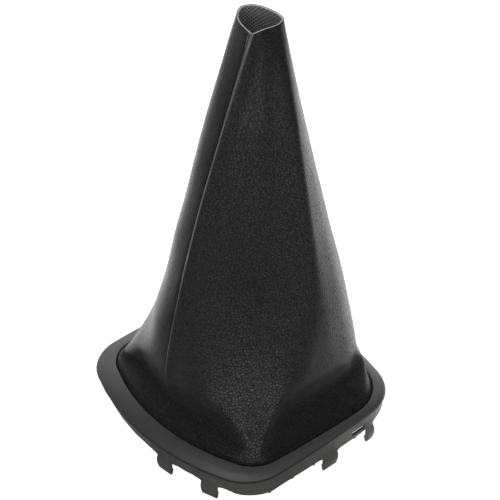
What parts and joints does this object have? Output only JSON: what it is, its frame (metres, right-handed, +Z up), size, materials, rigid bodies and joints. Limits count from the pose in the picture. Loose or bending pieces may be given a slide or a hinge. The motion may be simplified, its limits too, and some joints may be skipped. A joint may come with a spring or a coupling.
{
  "type": "gear lever gaiter",
  "caption": "Tapering black grained gaiter with one seam and an open teardrop neck, clipped into a rounded grey bezel with snap tabs under it.",
  "frame": {"origin": "centre of the frame's outline at the height of the snap tabs' lower tips", "axes": "+Z up from the console towards the neck, -Y the bezel's bowed side, +X to the right when facing +Y"},
  "size_m": [0.1482, 0.1432, 0.2615],
  "materials": {
    "bezel_plastic": "satin, fine moulded grain",
    "grained_cover": "pebble-grained coated fabric, grey knit on the inside",
    "ring_plastic": "plain moulded"
  },
  "bodies": {
    "root": {"trim_frame": "bezel_plastic", "gaiter_cover": "grained_cover", "retaining_ring": "ring_plastic"}
  },
  "joints": []
}
